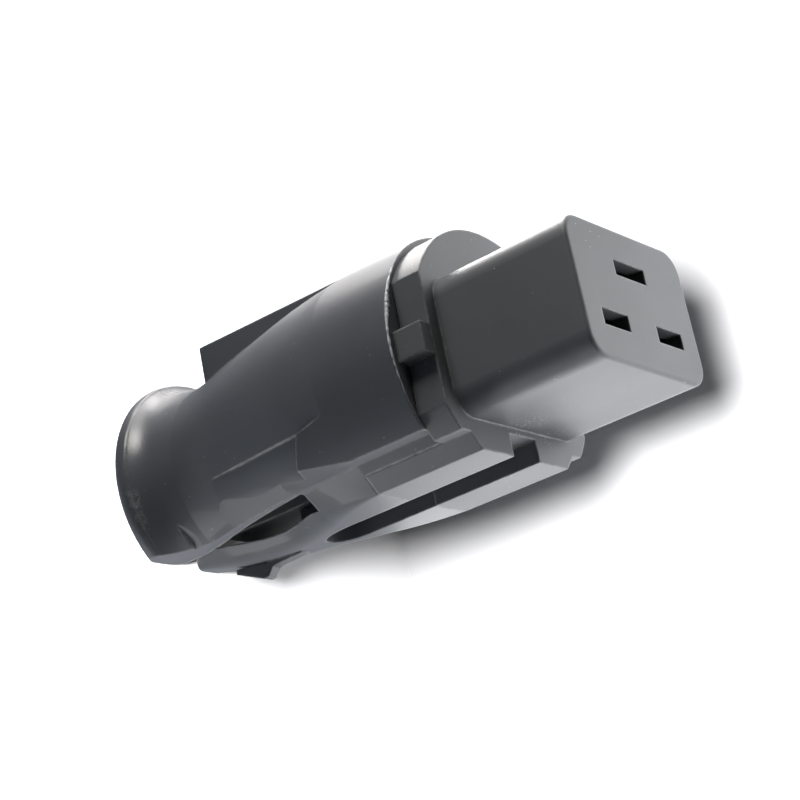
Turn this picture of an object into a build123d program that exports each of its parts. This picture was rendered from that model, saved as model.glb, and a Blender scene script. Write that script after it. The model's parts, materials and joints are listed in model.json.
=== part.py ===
from build123d import *
from math import sqrt
import os

# Rewireable three-pole appliance connector, standing on its cord end, in millimetres.
# Z is the axis of the hood and collar, from the collar's rim (0) up to the mating face.
# +X is the keel side, where the live contacts are, and -X the earth side.

# Heights along the axis
mating_z = 79.4
flange_z = 58.2
rim_z = 53.6
crease_z = 40.2
tongue_end_z = 40.5
window_z = 29.4
flare_z = 9.6

# Nose and blade slots, on an axis a little off the hood's own
nose_x = 0.8
nose_width, nose_height, nose_corner = 27.6, 19.66, 3.4
live_x, live_y = 4.7, 6.5
earth_x = -3.3
live_slot = (2.3, 6.1)
earth_slot = (2.2, 7.3)
pocket = (5.2, 8.8)
front_wall = 2.2

# Flange with its side flats, grip lugs and the keel under it
flange_r, flange_x, flange_flat = 18.45, 0.2, 15.95
lug_reach, lug_width, lug_x = 17.95, 4.2, 0.4
ledge_x = 12.6
keel_x, keel_half, keel_top_half = 14.8, 9.7, 11.8
channel_half, channel_roof_x = 2.95, 11.6

# Hood
barrel_r, waist_r, wall = 19.03, 14.3, 1.2
collar_r, lip_base_r, mouth_r = 16.9, 15.3, 12.4
skirt_x, skirt_half = 11.2, 13.9
floor_x, seat_z = 10.1, 47.5
block_half, block_end_z, block_proud = 8.8, 11.8, 0.4
step_x, scoop_depth = 5.1, 0.45
arm_half = 5.1
barb_half = 0.9

# Inner parts
spigot_r, spigot_flat = 17.6, 15.3
leaf = 0.8
terminal = (7.0, 7.6, 9.0)
terminal_z = 36.0
screw_r, screw_head_r, screw_head = 1.5, 2.6, 2.2
cord_r = 5.0
clamp_z, clamp_width, clamp_screw_y = 17.5, 6.0, 8.8


def slab(x0, x1, y0, y1, z0, z1):
    # Box between two corners
    box = Box(abs(x1 - x0), abs(y1 - y0), abs(z1 - z0))
    return Pos((x0 + x1) / 2, (y0 + y1) / 2, (z0 + z1) / 2) * box


def mirrored(shape):
    # The shape and its twin across the XZ plane
    return shape + mirror(shape, Plane.XZ)


def turned(*edges):
    # Solid of revolution about Z, from edges given in radius and height
    return revolve(Plane.XZ * make_face(Wire(edges)), Axis.Z)


# Hood

def round_body():
    # Barrel, waist and rolled collar as one turned form
    flare_end = (collar_r - 0.4, 3.0)
    lip_top = (collar_r - 0.05, 2.5)
    barrel = Line((0, rim_z), (barrel_r, rim_z))
    side = Line((barrel_r, rim_z), (barrel_r, crease_z))
    waist = Spline((barrel_r, crease_z), (18.27, 32.7), (16.95, 24.7), (15.4, 16.4), (waist_r, flare_z),
                   tangents=[(-0.10, -1), (-0.04, -1)])
    flare = Spline((waist_r, flare_z), (14.85, 6.2), flare_end, tangents=[(0.12, -1), (0.66, -0.75)])
    edge = ThreePointArc(flare_end, (collar_r - 0.16, 2.8), lip_top)
    lip = ThreePointArc(lip_top, (collar_r - 0.35, 0.7), (lip_base_r, 0))
    return turned(barrel, side, waist, flare, edge, lip, Line((lip_base_r, 0), (0, 0)), Line((0, 0), (0, rim_z)))


def round_bore():
    # The inside of the turned form, a wall's thickness in, with a rounded mouth
    top = rim_z + 1
    barrel_in = barrel_r - wall
    mouth = 1.6
    edges = [Line((0, top), (barrel_in, top)),
             Line((barrel_in, top), (barrel_in, crease_z)),
             Spline((barrel_in, crease_z), (17.0, 33.6), (15.75, 25.0), (14.2, 15.8), (mouth_r, 4.5),
                    tangents=[(-0.08, -1), (-0.06, -1)]),
             Line((mouth_r, 4.5), (mouth_r, mouth)),
             TangentArc((mouth_r, mouth), (mouth_r + mouth, 0), tangent=(0, -1)),
             Line((mouth_r + mouth, 0), (mouth_r + mouth, -1)),
             Line((mouth_r + mouth, -1), (0, -1)),
             Line((0, -1), (0, top))]
    return turned(*edges)


def grip_block():
    # Square block on the earth side, which carries the barrel's curve back over the waist
    far_r = barrel_r + block_proud
    form = turned(Line((0, crease_z + 1), (barrel_r, crease_z + 1)), Line((barrel_r, crease_z + 1), (barrel_r, crease_z)),
                  Line((barrel_r, crease_z), (far_r, block_end_z)), Line((far_r, block_end_z), (0, block_end_z)),
                  Line((0, block_end_z), (0, crease_z + 1)))
    plan = slab(-25, -9, -block_half, block_half, block_end_z, crease_z + 1)
    ends = plan.edges().filter_by(Axis.X).sort_by(Axis.Z)[:2]
    return form & fillet(ends, 3.0)


def side_scoop():
    # Shallow grip panel low on each side, stepped below the panel above it
    outline = fillet(make_face(Polyline((step_x + 0.4, 35.4), (9.4, 33.1), (12.0, 32.0), (12.0, 7.5), (8.0, 9.0),
                                        (step_x - 0.2, 17.0), close=True)).vertices().sort_by(Axis.X)[2:3], 1.5)
    tool = extrude(Plane.XZ * outline, 25, dir=(0, -1, 0))
    depth = scoop_depth
    core = turned(Line((0, 40), (18.9 - depth, 40)),
                  Spline((18.9 - depth, 40), (18.27 - depth, 32.7), (16.95 - depth, 24.7), (15.4, 16.4),
                         (waist_r + 0.4, 7.5), tangents=[(-0.10, -1), (-0.04, -1)]),
                  Line((waist_r + 0.4, 7.5), (0, 7.5)), Line((0, 7.5), (0, 40)))
    return tool - core


def low_barrel():
    # The barrel's own surface runs on past the crease, below the step line, down to the grip panel
    line = Line((4.9, crease_z - 0.9), (5.6, 35.3))
    corner = ThreePointArc((3.9, crease_z + 0.1), (4.6, crease_z - 0.2), (4.9, crease_z - 0.9))
    rest = Polyline((5.6, 35.3), (9.3, 33.2), (skirt_x, 32.4), (skirt_x, crease_z + 0.1), (3.9, crease_z + 0.1))
    outline = make_face(Wire([corner, line, *rest.edges()]))
    core = Pos(0, 0, 30) * Cylinder(barrel_r, crease_z - 30, align=(Align.CENTER, Align.CENTER, Align.MIN))
    return extrude(Plane.XZ * outline, 25, dir=(0, -1, 0)) & core


def flank_cut():
    # Facet that turns the lower flank under, twisting from the flat ledge below the barrel to the collar
    levels = [(41.4, 11.25, -15.4, -13.4), (33.6, 9.95, -16.2, -12.9), (28.0, 9.6, -14.1, -12.5),
              (23.4, 9.6, -13.15, -11.8), (16.4, 9.6, -11.8, -10.5), (6.8, 9.6, -10.6, -8.9)]
    sections = []
    for z, top_x, top_y, low_y in levels:
        along = Vector(skirt_x + 0.05 - top_x, low_y - top_y, 0)
        high = Vector(top_x, top_y, z) - along
        low = Vector(skirt_x + 0.05, low_y, z) + along * 0.6
        sections.append(make_face(Polyline(high, low, low + Vector(8, 0, 0), high + Vector(8, -6, 0), close=True)))
    return loft(sections, ruled=True)


def keel_section(z, top_x, top_half, low_x, low_half, radius):
    # Trapezium with rounded lower corners, across the axis at height z
    side = FilletPolyline((top_x, -top_half), (low_x, -low_half), (low_x, low_half), (top_x, top_half),
                          radius=radius)
    return Pos(0, 0, z) * make_face(side + Line((top_x, top_half), (top_x, -top_half)))


def hood_keel():
    # Flat-bottomed keel behind the carrier's tongue, which narrows to the spring arm
    run = (keel_top_half - keel_half) / (keel_x - ledge_x)
    top_half = keel_half + run * (keel_x - floor_x)
    front = extrude(keel_section(tongue_end_z, floor_x, top_half, keel_x, keel_half, 0.4), rim_z - tongue_end_z)
    middle = loft([keel_section(tongue_end_z, floor_x, top_half, keel_x, keel_half, 0.4),
                   keel_section(35.5, floor_x, top_half - 0.9, keel_x, keel_half - 0.6, 2.0),
                   keel_section(window_z, floor_x, 12.6, keel_x, 6.6, 3.6)])
    return front + middle


def spring_arm():
    # Long arm under the windows, rounded below, with its free end inside the collar's gap
    sections = [keel_section(window_z, 13.2, 8.64, keel_x, 6.6, 3.6),
                keel_section(25.0, 12.7, 6.9, keel_x, 4.7, 3.6),
                keel_section(20.5, 12.6, 5.3, 14.65, 3.2, 3.4),
                keel_section(14.4, 12.0, arm_half, 14.25, 2.9, 3.4),
                keel_section(7.7, 10.9, arm_half, 13.35, 2.7, 3.4),
                keel_section(0.4, 9.6, arm_half, 11.7, 2.8, 3.4)]
    end = Pos(0, 0, 5.4) * Cylinder(arm_half, 30, rotation=(0, 90, 0)) + slab(-15, 20, -10, 10, 5.4, 40)
    pad = slab(floor_x, 13.8, -3.8, 3.8, 22.4, window_z + 1)
    return (loft(sections) & end) + pad


def barb():
    # Small hooked tongue under the arm, rooted towards the keel and open towards the collar
    side = make_face(Polyline((13.0, 19.0), (14.8, 19.0), (15.0, 14.0), (15.2, 13.3), (16.3, 12.3), (16.35, 11.5),
                              (14.2, 6.5), (13.45, 6.7), (14.25, 12.6), (13.0, 12.8), close=True))
    return extrude(Plane.XZ * side, barb_half, both=True)


def channel():
    # Groove along the keel's underside, with an oval end
    straight = slab(channel_roof_x, 20, -channel_half, channel_half, window_z, mating_z)
    oval = Plane.YZ * Pos(0, window_z) * Ellipse(channel_half, 6.0)
    return straight + Pos(channel_roof_x, 0, 0) * extrude(oval, 8)


def hood():
    body = (round_body() & slab(-25, skirt_x, -25, 25, -1, rim_z)) + grip_block()
    body += mirrored(low_barrel())
    body -= mirrored(side_scoop())
    body -= mirrored(flank_cut())
    body += hood_keel()
    bore = round_bore()
    upper = slab(-25, floor_x, -25, 25, window_z, rim_z + 1)
    lower = slab(-25, skirt_x + 1, -25, 25, -2, window_z)
    seat = slab(-25, 25, -flange_flat - 0.1, flange_flat + 0.1, -2, rim_z + 1) + slab(-25, 25, -25, 25, -2, seat_z)
    body -= (bore & upper & seat) + (bore & lower)
    core = Cylinder(barrel_r - wall, rim_z - 13.4, align=(Align.CENTER, Align.CENTER, Align.MIN))
    body -= Pos(0, 0, 13.4) * core & slab(-25, 0, -block_half + 1.4, block_half - 1.4, 0, 60)
    body -= slab(floor_x - 1, 20, -keel_top_half, keel_top_half, tongue_end_z, rim_z + 1)
    body += spring_arm() + barb()
    return body - channel()


# Contact carrier

def nose():
    block = Pos(nose_x, 0, (mating_z + flange_z) / 2) * Box(nose_height, nose_width, mating_z - flange_z)
    block = fillet(block.edges().filter_by(Axis.Z), nose_corner)
    return fillet(block.faces().sort_by(Axis.Z)[-1].edges(), 0.5)


def flange():
    # Round flange with flats, a stepped keel below and a lug on each flat
    height = flange_z - rim_z
    disc = Pos(flange_x, 0, rim_z) * Cylinder(flange_r, height, align=(Align.CENTER, Align.CENTER, Align.MIN))
    disc &= slab(-25, ledge_x, -flange_flat, flange_flat, rim_z, flange_z)
    lug = slab(lug_x - lug_width / 2, lug_x + lug_width / 2, -lug_reach, -flange_flat + 1, rim_z, flange_z - 0.1)
    return disc + mirrored(lug)


def tongue():
    # The keel, flush in the hood's cut-out
    outline = make_face(Polyline((floor_x - 0.9, -keel_top_half), (ledge_x, -keel_top_half), (keel_x, -keel_half),
                                 (keel_x, keel_half), (ledge_x, keel_top_half), (floor_x - 0.9, keel_top_half),
                                 close=True))
    return Pos(0, 0, tongue_end_z) * extrude(outline, flange_z - tongue_end_z)


def stations():
    # Place of each contact: x, y, slot size and the direction its terminal screw faces
    return {"line": (live_x, -live_y, live_slot, (0, -1, 0)),
            "neutral": (live_x, live_y, live_slot, (0, 1, 0)),
            "earth": (earth_x, 0, earth_slot, (-1, 0, 0))}


def terminal_place(name):
    # Centre of the terminal block behind each contact
    x, y, _, out = stations()[name]
    return (x + 1.4 * out[0], y + 1.4 * out[1])


def carrier_core():
    # Spigot inside the hood's rim and the block that holds the terminals
    base = 33.0
    spigot = Pos(0, 0, 46) * Cylinder(spigot_r, rim_z - 46, align=(Align.CENTER, Align.CENTER, Align.MIN))
    spigot &= slab(-25, floor_x - 0.1, -spigot_flat, spigot_flat, 40, 60)
    rear = Pos(0, 0, base) * Cylinder(14.6, 47 - base, align=(Align.CENTER, Align.CENTER, Align.MIN))
    rear &= slab(-12.2, floor_x - 0.1, -13.4, 13.4, base, 47)
    return spigot + rear


def contact_pockets():
    # Slot, contact pocket and terminal pocket of each pole, one behind the other
    cut = None
    for name, (x, y, slot, out) in stations().items():
        tx, ty = terminal_place(name)
        mouth = Pos(x, y, mating_z - front_wall / 2) * Box(slot[0], slot[1], front_wall + 2)
        bay = slab(x - pocket[0] / 2, x + pocket[0] / 2, y - pocket[1] / 2, y + pocket[1] / 2, 44,
                   mating_z - front_wall)
        wide = terminal[0] / 2 + 0.1
        tall = terminal[1] / 2 + 0.1
        home = slab(tx - wide, tx + wide, ty - tall, ty + tall, 30, terminal_z + terminal[2] + 0.1)
        way = Pos(tx + 6 * out[0], ty + 6 * out[1], terminal_z + 4.5) * Box(
            12 if out[0] else 6.4, 12 if out[1] else 6.4, 6.4)
        piece = mouth + bay + home + way
        cut = piece if cut is None else cut + piece
    return cut


def tail():
    # Trough behind the terminals with the two bosses of the cord clamp
    shelf = slab(8.2, floor_x - 0.1, -5.2, 5.2, 9.0, 34)
    low = clamp_z - clamp_width / 2
    high = clamp_z + clamp_width / 2
    boss = slab(3.0, 8.3, -10.8, -5.2, low, high) + slab(7.0, 8.3, -5.3, 0, low, high)
    web = slab(5.6, 8.3, -7.0, -5.2, high, 34)
    seat = Pos(0, 0, clamp_z) * Cylinder(cord_r + 0.6, 60)
    hole = Pos(5.4, -clamp_screw_y, clamp_z) * Cylinder(1.3, 7, rotation=(0, 90, 0))
    return shelf + mirrored(boss + web - hole) - seat


def contact_carrier():
    body = nose() + flange() + tongue() + carrier_core() + tail()
    return body - contact_pockets() - channel()


# Metal parts

def contact(name):
    # Folded receptacle: two leaves that pinch the blade, a base and a tail to the terminal
    x, y, slot, out = stations()[name]
    base_z, top_z = 60.0, 74.5
    right = Polyline((0, base_z), (1.7, base_z), (1.9, base_z + 3), (0.95 + leaf / 2, top_z - 3.4), (1.75, top_z))
    left = Polyline((0, base_z), (-1.7, base_z), (-1.9, base_z + 3), (-0.95 - leaf / 2, top_z - 3.4),
                    (-1.75, top_z))
    leaves = Plane.XZ * (trace(right, leaf) + trace(left, leaf))
    fold = extrude(leaves, 3.2, both=True)
    strip = slab(-leaf / 2, leaf / 2, -2.5, 2.5, terminal_z + 7.0, base_z)
    return Pos(x, y, 0) * (fold + strip)


def contact_clip(name):
    # Spring clip round the leaves
    x, y, slot, out = stations()[name]
    ring = Box(pocket[0] - 0.1, 7.6, 3.0) - Box(pocket[0] - 0.9, 6.8, 3.1)
    gap = Pos(0, 3.6, 0) * Box(1.4, 2, 4)
    return Pos(x, y, 67.5) * (ring - gap)


def terminal_block(name):
    # Brass block with the wire hole along the axis, the screw hole from outside and a slot for the strip
    tx, ty = terminal_place(name)
    x, y, slot, out = stations()[name]
    sides = (terminal[0], terminal[1])
    block = Pos(tx, ty, terminal_z + terminal[2] / 2) * Box(sides[0], sides[1], terminal[2])
    block = chamfer(block.edges().filter_by(Axis.Z), 0.5)
    wire = Pos(tx, ty, terminal_z) * Cylinder(1.9, 13)
    strip = slab(x - leaf / 2, x + leaf / 2, y - 2.5, y + 2.5, terminal_z + 7.0, terminal_z + 12)
    bolt = screw_axis(name) * Cylinder(screw_r, 8, align=(Align.CENTER, Align.CENTER, Align.MIN))
    return block - wire - strip - bolt


def screw_axis(name):
    # Plane on the terminal block's centre, facing out along its screw
    tx, ty = terminal_place(name)
    out = stations()[name][3]
    return Plane(origin=(tx, ty, terminal_z + 4.0), x_dir=(0, 0, 1), z_dir=out)


def slotted_screw(shank, head_z, head_r, head):
    # Shank from the origin along Z, with a slotted cheese head
    body = Cylinder(screw_r, head_z - shank, align=(Align.CENTER, Align.CENTER, Align.MIN))
    cap = Cylinder(head_r, head, align=(Align.CENTER, Align.CENTER, Align.MIN))
    slot = Pos(0, 0, head) * Box(7, 0.8, 2.0)
    return Pos(0, 0, shank) * body + Pos(0, 0, head_z) * (cap - slot)


def terminal_screw(name):
    out = stations()[name][3]
    half = terminal[0] / 2 if out[0] else terminal[1] / 2
    return screw_axis(name) * slotted_screw(1.0, half + 0.3, screw_head_r, screw_head)


# Rear cover, clamp and clamp screws

def terminal_cover():
    # Plate that closes the terminal bays from behind, with a hole for each wire
    plate = Pos(0, 0, 31.0) * Cylinder(14.0, 1.8, align=(Align.CENTER, Align.CENTER, Align.MIN))
    plate &= slab(-12.0, 8.0, -13.0, 13.0, 30, 34)
    for name in stations():
        tx, ty = terminal_place(name)
        plate -= Pos(tx, ty, 32) * Cylinder(2.4, 5)
    return plate


def cord_clamp():
    # Arched saddle with a flat foot on each boss and two ribs that bite the cord
    foot = slab(0.8, 3.0, -10.8, 10.8, clamp_z - clamp_width / 2, clamp_z + clamp_width / 2)
    arch = Pos(0, 0, clamp_z) * Cylinder(6.4, clamp_width) & slab(-8, 3.0, -8, 8, 0, 40)
    space = Pos(0, 0, clamp_z) * Cylinder(cord_r, clamp_width + 1) + slab(0, 5, -cord_r, cord_r, 5, 30)
    rib = Pos(0, 0, clamp_z) * (Cylinder(cord_r + 0.2, 0.8) - Cylinder(cord_r - 0.7, 1)) & slab(-8, 0, -8, 8, 0, 40)
    holes = mirrored(Pos(2, -clamp_screw_y, clamp_z) * Cylinder(1.7, 6, rotation=(0, 90, 0)))
    return foot + arch - space - holes + Pos(0, 0, 1.7) * rib + Pos(0, 0, -1.7) * rib


def clamp_screw(side):
    place = Plane(origin=(8.0, side * clamp_screw_y, clamp_z), x_dir=(0, 0, 1), z_dir=(-1, 0, 0))
    body = Cylinder(1.3, 7.2, align=(Align.CENTER, Align.CENTER, Align.MIN))
    cap = Cylinder(2.1, 1.7, align=(Align.CENTER, Align.CENTER, Align.MIN))
    slot = Pos(0, 0, 1.7) * Box(5, 0.7, 1.6)
    return place * (body + Pos(0, 0, 7.2) * (cap - slot))


def parts():
    made = {"hood": hood(), "contact_carrier": contact_carrier(), "terminal_cover": terminal_cover(),
            "cord_clamp": cord_clamp(), "clamp_screw_left": clamp_screw(-1), "clamp_screw_right": clamp_screw(1)}
    for name in stations():
        made[name + "_contact"] = contact(name)
        made[name + "_contact_clip"] = contact_clip(name)
        made[name + "_terminal"] = terminal_block(name)
        made[name + "_terminal_screw"] = terminal_screw(name)
    return made


os.makedirs("parts", exist_ok=True)
for node, shape in parts().items():
    export_step(shape, f"parts/{node}.step")
    print(node, round(shape.volume, 1))
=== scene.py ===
import json

import bpy
import numpy as np
from mathutils import Matrix, Vector

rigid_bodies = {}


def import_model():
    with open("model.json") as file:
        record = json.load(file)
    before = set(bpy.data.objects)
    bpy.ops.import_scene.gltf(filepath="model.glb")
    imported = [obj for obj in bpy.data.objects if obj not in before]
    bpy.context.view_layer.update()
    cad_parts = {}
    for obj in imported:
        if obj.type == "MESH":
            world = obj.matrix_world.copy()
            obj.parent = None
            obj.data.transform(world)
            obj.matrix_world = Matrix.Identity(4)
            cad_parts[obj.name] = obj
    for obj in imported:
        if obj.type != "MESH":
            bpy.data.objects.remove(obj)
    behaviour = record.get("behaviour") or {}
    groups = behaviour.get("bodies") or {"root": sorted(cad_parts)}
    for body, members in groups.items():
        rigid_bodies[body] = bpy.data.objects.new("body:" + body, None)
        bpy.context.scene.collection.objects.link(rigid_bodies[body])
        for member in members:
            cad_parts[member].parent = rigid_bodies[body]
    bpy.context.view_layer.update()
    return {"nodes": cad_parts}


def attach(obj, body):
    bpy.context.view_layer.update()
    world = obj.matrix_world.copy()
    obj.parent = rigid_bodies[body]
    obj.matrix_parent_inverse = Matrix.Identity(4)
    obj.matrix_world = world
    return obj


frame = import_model()
scene = bpy.context.scene
mm = 0.001

cameraLook = {
    "place": (94.95, -219.51, 193.43),  # mm
    "right": (0.1878, 0.6159, 0.7651),
    "up": (-0.9230, -0.1557, 0.3519),
    "back": (0.3358, -0.7723, 0.5393),  # from the part to the camera
    "lens": 92.52, "sensor": 36,  # mm
    "near": 0.01,  # m
}


def addCamera(look):
    # its three directions are the columns of its turn, squared up by way of a quaternion
    data = bpy.data.cameras.new("camera")
    data.lens = look["lens"]
    data.sensor_width = look["sensor"]
    data.clip_start = look["near"]
    camera = bpy.data.objects.new("camera", data)
    columns = Matrix((look["right"], look["up"], look["back"])).transposed()
    turn = columns.to_quaternion().to_matrix().to_4x4()
    camera.matrix_world = Matrix.Translation(Vector(look["place"]) * mm) @ turn
    scene.collection.objects.link(camera)
    scene.camera = camera


addCamera(cameraLook)
print("camera set")


class Nodes:
    # short calls for one material's nodes; a value given to any of them may be a number or a socket

    def __init__(self, name):
        self.material = bpy.data.materials.new(name)
        self.material.use_nodes = True
        self.tree = self.material.node_tree
        self.shader = self.tree.nodes["Principled BSDF"]
        self.out = self.tree.nodes["Material Output"]
        self.coords = self.tree.nodes.new("ShaderNodeTexCoord").outputs["Object"]

    def set(self, socket, value):
        if isinstance(value, bpy.types.NodeSocket):
            self.tree.links.new(value, socket)
        else:
            socket.default_value = value

    def add(self, kind, **inputs):
        node = self.tree.nodes.new(kind)
        for key, value in inputs.items():
            self.set(node.inputs[key], value)
        return node

    def inOrder(self, kind, values):
        node = self.tree.nodes.new(kind)
        for socket, value in zip(node.inputs, values):
            self.set(socket, value)
        return node

    def math(self, operation, a, b):
        node = self.inOrder("ShaderNodeMath", (a, b))
        node.operation = operation
        return node.outputs[0]

    def vectors(self, operation, a, b):
        node = self.inOrder("ShaderNodeVectorMath", (a, b))
        node.operation = operation
        return node.outputs["Value"]

    def noise(self, scale, detail, rough=0.55, vector=None):
        node = self.add("ShaderNodeTexNoise", Scale=scale, Detail=detail, Roughness=rough)
        self.set(node.inputs["Vector"], vector or self.coords)
        return node.outputs["Fac"]

    def cells(self, scale):
        return self.add("ShaderNodeTexVoronoi", Scale=scale, Vector=self.coords).outputs["Distance"]

    def stretched(self, scale):
        return self.add("ShaderNodeMapping", Scale=scale, Vector=self.coords).outputs["Vector"]

    def span(self, value, low, high, toLow=0.0, toHigh=1.0):
        # straight from low..high to toLow..toHigh, and held at the ends
        return self.inOrder("ShaderNodeMapRange", (value, low, high, toLow, toHigh)).outputs[0]

    def mix(self, factor, a, b):
        node = self.tree.nodes.new("ShaderNodeMix")
        node.data_type = "RGBA"
        self.set(node.inputs["Factor"], factor)
        self.set(node.inputs["A"], a)
        self.set(node.inputs["B"], b)
        return node.outputs["Result"]

    def bump(self, height, distance, under):
        node = self.add("ShaderNodeBump", Strength=1.0, Distance=distance, Height=height, Normal=under)
        return node.outputs["Normal"]


def rgb(red, green, blue):
    # sRGB 0 to 255, as read on the photograph's plain areas, to the shader's linear colour
    value = np.array([red, green, blue]) / 255.0
    linear = np.where(value > 0.04045, ((value + 0.055) / 1.055) ** 2.4, value / 12.92)
    return (*linear.tolist(), 1.0)


usedNoise = (0.3, 0.7)  # the noise values that a span runs between

plasticFinish = {
    # the same for every plastic: scales are noises or cells to the metre, heights are in metres
    "bevelSamples": 6, "ior": 1.5,
    "edgeMarkTurn": (0.995, 0.90), "edgeMarkScale": 900, "edgeMarkPatches": (0.3, 0.6),
    "flowScale": 90, "flowAlong": (1, 1, 0.25), "flowRough": 0.03,
    "speckSize": (0.10, 0.04), "speckAreas": 170, "speckPatches": (0.56, 0.64),
    "scuffScale": 700, "scuffStray": 0.0006, "scuffCore": 0.4, "scuffColour": 0.6, "scuffHeight": 0.00008,
}


def wornAndHighlightedEdges(nodes, finish, rounded):
    # worn, with a painted edge highlight, where the rounded normal leans away from the flat one, in patches
    flat = nodes.add("ShaderNodeNewGeometry").outputs["Normal"]
    lean = nodes.span(nodes.vectors("DOT_PRODUCT", rounded, flat), *finish["edgeMarkTurn"])
    patches = nodes.span(nodes.noise(finish["edgeMarkScale"], detail=3), *finish["edgeMarkPatches"])
    return nodes.math("MULTIPLY", lean, patches)


def dustSpecks(nodes, finish, scale):
    # the middles of small cells, only where a coarser noise is high
    specks = nodes.span(nodes.cells(scale), *finish["speckSize"])
    patches = nodes.span(nodes.noise(finish["speckAreas"], detail=2), *finish["speckPatches"])
    return nodes.math("MULTIPLY", specks, patches)


def scuffGrains(nodes, finish, centre, reach, scale, density):
    # grains inside a ball round a place on the surface, fading out towards a ragged edge
    away = nodes.vectors("DISTANCE", nodes.coords, Vector(centre) * mm)
    stray = finish["scuffStray"]
    ragged = nodes.span(nodes.noise(finish["scuffScale"], detail=2), *usedNoise, -stray, stray)
    near = nodes.span(nodes.math("ADD", away, ragged), reach * mm, reach * finish["scuffCore"] * mm)
    grains = nodes.span(nodes.cells(scale), density, density * finish["scuffCore"])
    return nodes.math("MULTIPLY", near, grains)


def mouldedPlastic(look, finish=plasticFinish):
    # clouded colour and gloss, fine grain and flow waves in the surface, then edge wear with a painted edge
    # highlight, dust and scuffs on top
    nodes = Nodes(look["name"])
    cloudy = nodes.noise(look["cloudScale"], detail=4)
    flow = nodes.noise(finish["flowScale"], detail=3, rough=0.5, vector=nodes.stretched(finish["flowAlong"]))
    grain = nodes.noise(look["grainScale"], detail=2, rough=0.6)
    bevel = nodes.add("ShaderNodeBevel", Radius=look["edge"])
    bevel.samples = finish["bevelSamples"]
    rounded = bevel.outputs["Normal"]

    colour = nodes.mix(nodes.span(cloudy, *usedNoise), look["colour"], look["cloud"])
    # every rounded edge is made lighter: partly edge wear, partly a painted highlight
    marksAndHighlight = nodes.math("MULTIPLY", wornAndHighlightedEdges(nodes, finish, rounded), look["edgeWearAndHighlight"])
    colour = nodes.mix(marksAndHighlight, colour, look["marksAndHighlight"])
    dust = nodes.math("MULTIPLY", dustSpecks(nodes, finish, look["speckScale"]), look["dust"])
    colour = nodes.mix(dust, colour, look["marksAndHighlight"])
    normal = nodes.bump(grain, look["grain"], rounded)
    normal = nodes.bump(flow, look["wave"], normal)
    for centre, reach, scale, density in look["scuffs"]:
        grains = scuffGrains(nodes, finish, centre, reach, scale, density)
        colour = nodes.mix(nodes.math("MULTIPLY", grains, finish["scuffColour"]), colour, look["marksAndHighlight"])
        normal = nodes.bump(grains, finish["scuffHeight"], normal)

    uneven = nodes.span(flow, *usedNoise, -finish["flowRough"], finish["flowRough"])
    nodes.set(nodes.shader.inputs["Base Color"], colour)
    nodes.set(nodes.shader.inputs["Roughness"],
              nodes.math("ADD", nodes.span(cloudy, *usedNoise, *look["rough"]), uneven))
    nodes.set(nodes.shader.inputs["Normal"], normal)
    nodes.set(nodes.shader.inputs["IOR"], finish["ior"])
    return nodes.material


hoodLook = {
    # the lightest colour here is for edge wear with its painted edge highlight, and for dust specks and scuffs
    "name": "hoodPlastic", "colour": rgb(79, 82, 87), "cloud": rgb(85, 87, 92), "marksAndHighlight": rgb(190, 190, 188),
    "cloudScale": 55, "grainScale": 5200, "grain": 0.00001, "wave": 0.00006, "edge": 0.00045, "edgeWearAndHighlight": 0.35,
    "rough": (0.28, 0.36), "speckScale": 900, "dust": 0.6,
    "scuffs": [  # place and reach in mm, grains to the metre, density
        ((2.6, -16.2, 3.0), 0.8, 9000, 0.45),
        ((4.0, -15.9, 3.0), 0.9, 9000, 0.5),
        ((5.4, -15.4, 3.0), 0.8, 9000, 0.45),
        ((6.8, -14.8, 3.0), 0.6, 9000, 0.4),
    ],
}
carrierLook = {
    "name": "carrierPlastic", "colour": rgb(80, 84, 87), "cloud": rgb(86, 89, 91),
    # the lightest colour here is for edge wear with its painted edge highlight, and for dust specks and scuffs
    "marksAndHighlight": rgb(196, 194, 190), "cloudScale": 60, "grainScale": 6000, "grain": 0.000012, "wave": 0.00005,
    "edge": 0.00042, "edgeWearAndHighlight": 0.32, "rough": (0.44, 0.53), "speckScale": 1000, "dust": 0.9,
    "scuffs": [((10.6, -1.0, 60.4), 3.6, 2000, 0.3), ((10.6, 6.0, 59.4), 2.6, 2000, 0.25)],
}
coverLook = {
    # the lightest colour here is for edge wear with its painted edge highlight, and for dust specks and scuffs
    "name": "coverPlastic", "colour": rgb(44, 44, 46), "cloud": rgb(50, 50, 52), "marksAndHighlight": rgb(120, 120, 120),
    "cloudScale": 70, "grainScale": 5000, "grain": 0.00001, "wave": 0.00004, "edge": 0.0002, "edgeWearAndHighlight": 0.3,
    "rough": (0.5, 0.6), "speckScale": 900, "dust": 0.3, "scuffs": [],
}

metalFinish = {"edge": 0.00015, "streakHeight": 0.00001, "tarnishScale": 260, "tarnishPatches": (0.5, 0.75)}


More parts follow.
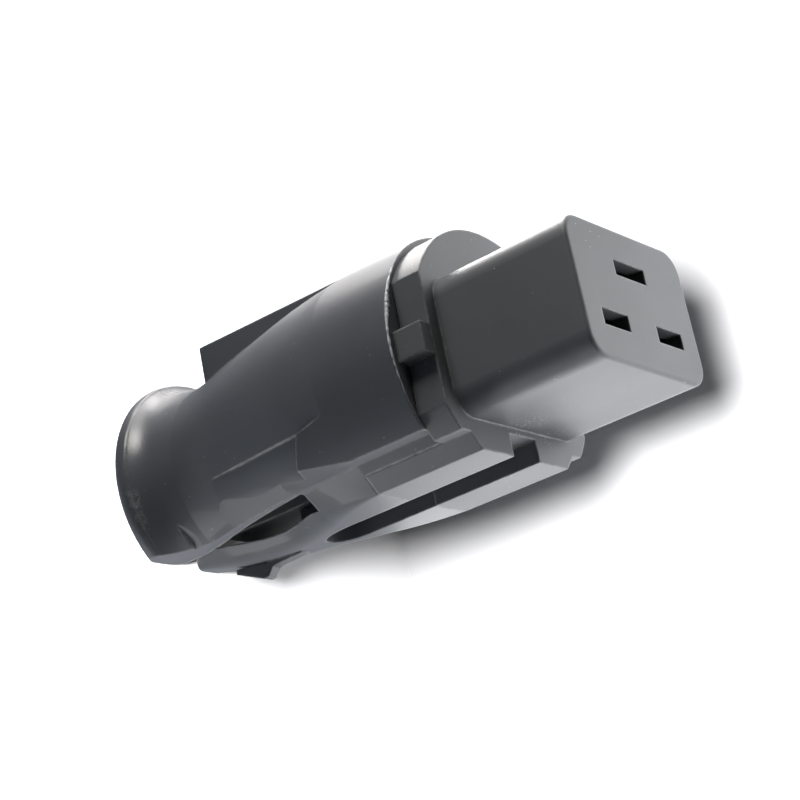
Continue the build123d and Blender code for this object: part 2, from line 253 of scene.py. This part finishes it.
def drawnMetal(look, finish=metalFinish):
    # streaks along the piece in its colour, gloss and surface, with patches of tarnish
    nodes = Nodes(look["name"])
    streaks = nodes.noise(look["streakScale"], detail=5, rough=0.6, vector=nodes.stretched(look["along"]))
    tarnish = nodes.span(nodes.noise(finish["tarnishScale"], detail=4), *finish["tarnishPatches"])
    colour = nodes.mix(nodes.span(streaks, *usedNoise), look["colour"], look["second"])
    colour = nodes.mix(nodes.math("MULTIPLY", tarnish, look["tarnish"]), colour, look["dull"])
    rounded = nodes.add("ShaderNodeBevel", Radius=finish["edge"]).outputs["Normal"]
    nodes.set(nodes.shader.inputs["Base Color"], colour)
    nodes.set(nodes.shader.inputs["Metallic"], 1.0)
    nodes.set(nodes.shader.inputs["Roughness"], nodes.span(streaks, *usedNoise, *look["rough"]))
    nodes.set(nodes.shader.inputs["Normal"], nodes.bump(streaks, finish["streakHeight"], rounded))
    return nodes.material


brassLook = {
    "name": "brassStrip", "colour": rgb(196, 164, 98), "second": rgb(178, 146, 84), "dull": rgb(120, 92, 56),
    "tarnish": 0.5, "streakScale": 300, "along": (1, 1, 0.08), "rough": (0.28, 0.42),
}
steelLook = {
    "name": "platedSteel", "colour": rgb(182, 184, 186), "second": rgb(160, 162, 164),
    "dull": rgb(110, 108, 104), "tarnish": 0.35, "streakScale": 500, "along": (1, 1, 0.3),
    "rough": (0.24, 0.38),
}

hoodPlastic = mouldedPlastic(hoodLook)
carrierPlastic = mouldedPlastic(carrierLook)
coverPlastic = mouldedPlastic(coverLook)
brassStrip = drawnMetal(brassLook)
platedSteel = drawnMetal(steelLook)
print("materials made")


def materialFor(name):
    if name == "hood":
        return hoodPlastic
    if name == "contact_carrier":
        return carrierPlastic
    if name in ("terminal_cover", "cord_clamp"):
        return coverPlastic
    if name.endswith(("screw", "clip")) or name.startswith("clamp_screw"):
        return platedSteel
    return brassStrip


for name, node in frame["nodes"].items():  # the CAD nodes keep their shape and take these materials
    node.data.materials.clear()
    node.data.materials.append(materialFor(name))
print("CAD nodes dressed")


def addSurface(name, points, material):
    # points is a grid in mm, along by around by three: closed sections, joined by four-sided faces, with
    # one face over each end
    along, around = points.shape[:2]
    row, place = np.meshgrid(np.arange(along - 1), np.arange(around), indexing="ij")
    after = (place + 1) % around
    here, above = row * around, (row + 1) * around
    sides = np.stack([here + place, above + place, above + after, here + after], -1).reshape(-1, 4)
    ends = [range(around), range(along * around - 1, (along - 1) * around - 1, -1)]
    mesh = bpy.data.meshes.new(name)
    faces = [tuple(face) for face in (*sides.tolist(), *ends)]
    mesh.from_pydata((points.reshape(-1, 3) * mm).tolist(), [], faces)
    mesh.polygons.foreach_set("use_smooth", np.ones(len(mesh.polygons), bool))
    mesh.materials.append(material)
    mesh.update()
    piece = bpy.data.objects.new(name, mesh)
    scene.collection.objects.link(piece)
    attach(piece, "root")


def wander(seed, count, steps):
    # smooth random values from 0 to 1: a few fixed knots, joined by a cosine ease
    knots = np.random.default_rng(seed).random(count + 1)
    place = np.linspace(0, count - 1e-6, steps)  # stops just short of the last knot
    low = place.astype(int)
    ease = 0.5 - 0.5 * np.cos(np.pi * (place - low))
    return knots[low] * (1 - ease) + knots[low + 1] * ease


flashLook = {
    "from": -136.0, "to": -53.0,  # degrees round the rim
    "steps": 620, "around": 10,  # points along it and round its section
    "radius": 18.93, "height": 53.56,  # mm, the rim's edge
    "rising": 0.12, "falling": 0.45,  # shares of its length that grow from nothing and die away
    "swellAt": 0.35, "swellReach": 0.10,  # shares of its length
    "inward": 0.7, "fineShare": 0.7,  # how far the swell leans inwards, in widths, and how much of it is ragged
    "rough": (5, 46), "fine": (9, 130), "tallRough": (3, 60),  # seed and number of knots
    "wide": 0.07, "wideRough": 0.15, "wideSwell": 0.26,  # mm, half of its width
    "tall": 0.06, "tallStray": 0.12, "tallSwell": 0.17, "least": 0.02,  # mm, half of its height, and its ends
    "colour": rgb(180, 184, 190), "cloud": rgb(206, 208, 212), "cloudScale": 900, "wave": 0.00008,
}


def rimFlash(look):
    # ragged flash left on the hood's rim: an ellipse carried round the edge's circle, whose two radii
    # wander along it, swell near the lug and run out to nothing at both ends
    steps = look["steps"]
    turn = np.linspace(0, 1, steps)
    angle = np.radians(look["from"] + (look["to"] - look["from"]) * turn)
    ends = np.clip(turn / look["rising"], 0, 1) * np.clip((1 - turn) / look["falling"], 0, 1)
    swell = np.exp(-((turn - look["swellAt"]) / look["swellReach"]) ** 2)
    rough = wander(*look["rough"], steps)
    fine = wander(*look["fine"], steps)
    tallRough = wander(*look["tallRough"], steps)
    ragged = (1 - look["fineShare"]) + look["fineShare"] * fine
    wide = look["wide"] + look["wideRough"] * rough + look["wideSwell"] * swell * ragged
    tall = look["tall"] + look["tallStray"] * tallRough + look["tallSwell"] * swell * fine
    wide = ends * wide + look["least"]
    tall = ends * tall + look["least"]
    section = np.linspace(0, 2 * np.pi, look["around"], endpoint=False)
    middle = look["radius"] - look["inward"] * wide * swell
    radius = middle[:, None] + wide[:, None] * np.cos(section)
    height = look["height"] + tall[:, None] * np.sin(section)
    return np.stack([radius * np.cos(angle)[:, None], radius * np.sin(angle)[:, None], height], -1)


flashSurface = {key: flashLook[key] for key in ("colour", "cloud", "cloudScale", "wave")}
flashPlastic = mouldedPlastic({**hoodLook, **flashSurface, "name": "flashPlastic"})
addSurface("rim_flash", rimFlash(flashLook), flashPlastic)
print("rim flash added")

stageLook = {
    # a white floor, and white paper upright close behind the part
    "reach": 0.9, "paperAt": 0.050,  # m
    "floorSeen": rgb(150, 150, 151), "floorUnseen": rgb(24, 26, 29),
    "paperSeen": rgb(206, 206, 207), "paperUnseen": rgb(240, 240, 241), "rough": 0.9,
    "glow": 0.03, "glowHeight": 0.05,  # its strength near the part, and its middle's height in m
    "glowNear": 0.11, "glowFar": 0.22,  # m, faint up to the first and full from the second
    "fill": 0.02,
}


def paperMaterial(name, look, seenColour, unseenColour):
    # one colour to the camera and another to any other ray, with a glow that is faint near the part, where
    # it only keeps the shadow from going black; seen from behind, the sheet isn't there
    nodes = Nodes(name)
    seen = nodes.add("ShaderNodeLightPath").outputs["Is Camera Ray"]
    away = nodes.vectors("DISTANCE", nodes.coords, Vector((0, look["paperAt"], look["glowHeight"])))
    glow = nodes.span(away, look["glowNear"], look["glowFar"], look["glow"], 1.0)
    nodes.set(nodes.shader.inputs["Base Color"], nodes.mix(seen, unseenColour, seenColour))
    nodes.set(nodes.shader.inputs["Roughness"], look["rough"])
    nodes.set(nodes.shader.inputs["Specular IOR Level"], 0.0)
    nodes.set(nodes.shader.inputs["Emission Color"], (1, 1, 1, 1))
    nodes.set(nodes.shader.inputs["Emission Strength"], nodes.math("MULTIPLY", seen, glow))
    behind = nodes.add("ShaderNodeNewGeometry").outputs["Backfacing"]
    clear = nodes.add("ShaderNodeBsdfTransparent").outputs[0]
    both = nodes.inOrder("ShaderNodeMixShader", (behind, nodes.shader.outputs[0], clear))
    nodes.set(nodes.out.inputs["Surface"], both.outputs[0])
    return nodes.material


def addSheet(name, corners, material):
    mesh = bpy.data.meshes.new(name)
    mesh.from_pydata(corners, [], [(0, 1, 2, 3)])
    mesh.materials.append(material)
    sheet = bpy.data.objects.new(name, mesh)
    scene.collection.objects.link(sheet)
    sheet.visible_shadow = False
    return sheet


reach, back = stageLook["reach"], stageLook["paperAt"]
partPieces = bpy.data.collections.new("partPieces")  # what the lamps on the part light
for thing in scene.objects:
    if thing.type == "MESH":
        partPieces.objects.link(thing)
flat = [(-reach, -reach, 0), (reach, -reach, 0), (reach, back, 0), (-reach, back, 0)]
upright = [(-reach, back, 0), (reach, back, 0), (reach, back, reach), (-reach, back, reach)]
floor = addSheet("floor", flat,
                 paperMaterial("floorPaper", stageLook, stageLook["floorSeen"], stageLook["floorUnseen"]))
paper = addSheet("backPaper", upright,
                 paperMaterial("backPaper", stageLook, stageLook["paperSeen"], stageLook["paperUnseen"]))
print("floor and paper set")


def addWorld(fill):
    # white to the camera, and a faint white fill to any other ray
    world = bpy.data.worlds.new("world")
    scene.world = world
    world.use_nodes = True
    background = world.node_tree.nodes["Background"]
    seen = world.node_tree.nodes.new("ShaderNodeLightPath").outputs["Is Camera Ray"]
    level = world.node_tree.nodes.new("ShaderNodeMapRange")
    level.inputs["To Min"].default_value = fill
    level.inputs["To Max"].default_value = 1.0
    background.inputs["Color"].default_value = (1, 1, 1, 1)
    world.node_tree.links.new(seen, level.inputs["Value"])
    world.node_tree.links.new(level.outputs[0], background.inputs["Strength"])


shadowLook = {
    # one lamp for each sheet, a little left of and above the camera, so that the shadow shows at the
    # part's right and foot
    "aside": -46, "above": 24, "soft": 34,  # mm
    "watts": {"floorLamp": 35.0, "paperLamp": 12.0},
}


def addShadowLamp(name, sheet, look):
    light = bpy.data.lights.new(name, "POINT")
    light.energy = look["watts"][name]
    light.shadow_soft_size = look["soft"] * mm
    lamp = bpy.data.objects.new(name, light)
    aside = Vector(cameraLook["right"]) * look["aside"] + Vector(cameraLook["up"]) * look["above"]
    lamp.location = (Vector(cameraLook["place"]) + aside) * mm
    lamp.light_linking.receiver_collection = bpy.data.collections.new(name)
    lamp.light_linking.receiver_collection.objects.link(sheet)
    scene.collection.objects.link(lamp)


lampAim = (0, 0, 40)  # mm, the middle of the part
lampLook = {  # direction from the part, distance and size in mm, watts, tint
    "key": ((-0.97, -0.05, 0.10), 330, (220, 220), 0.8, (1.0, 0.96, 0.93)),
    "keyBack": ((-0.80, 0.50, 0.10), 330, (220, 220), 0.4, (1.0, 0.97, 0.95)),
    "keyBackLow": ((-0.89, 0.30, -0.34), 330, (90, 90), 1.8, (1.0, 0.97, 0.95)),
    "under": ((0.97, -0.15, 0.10), 300, (240, 240), 0.12, (1, 1, 1)),
    "underCord": ((0.62, 0.22, -0.75), 240, (120, 120), 0.42, (1, 1, 1)),
    "underHood": ((0.90, 0.25, -0.35), 240, (140, 140), 0.2, (0.97, 0.98, 1.0)),
    "frontBack": ((0.10, 0.45, 0.90), 280, (180, 180), 0.2, (1, 1, 1)),
    "collarLamp": ((-0.82, -0.57, 0.07), 230, (80, 80), 0.34, (1.0, 0.98, 0.95)),
    "underArm": ((0.56, -0.07, -0.82), 141, (50, 50), 0.12, (1, 1, 1)),
    "underFar": ((0.30, 0.80, -0.52), 300, (140, 140), 0.5, (1, 1, 1)),
    "fromBelow": ((0.10, 0.10, -0.99), 240, (110, 110), 0.35, (0.86, 0.95, 1.0)),
    "cordSide": ((0.15, -0.30, -0.94), 240, (120, 120), 0.07, (0.75, 0.92, 1.0)),
}


def addLamp(name, way, far, size, watts, tint):
    # a soft panel that faces the part from one side and lights nothing else
    light = bpy.data.lights.new(name, "AREA")
    light.shape = "RECTANGLE"
    light.size, light.size_y = size[0] * mm, size[1] * mm
    light.energy = watts
    light.color = tint
    lamp = bpy.data.objects.new(name, light)
    lamp.location = (Vector(lampAim) + Vector(way).normalized() * far) * mm
    lamp.rotation_euler = (-Vector(way)).to_track_quat("-Z", "Y").to_euler()
    lamp.visible_camera = False
    lamp.light_linking.receiver_collection = partPieces
    scene.collection.objects.link(lamp)


addShadowLamp("floorLamp", floor, shadowLook)
addShadowLamp("paperLamp", paper, shadowLook)
addWorld(stageLook["fill"])
for name, values in lampLook.items():
    addLamp(name, *values)
print("world and lamps set")

scene.view_settings.view_transform = "Standard"
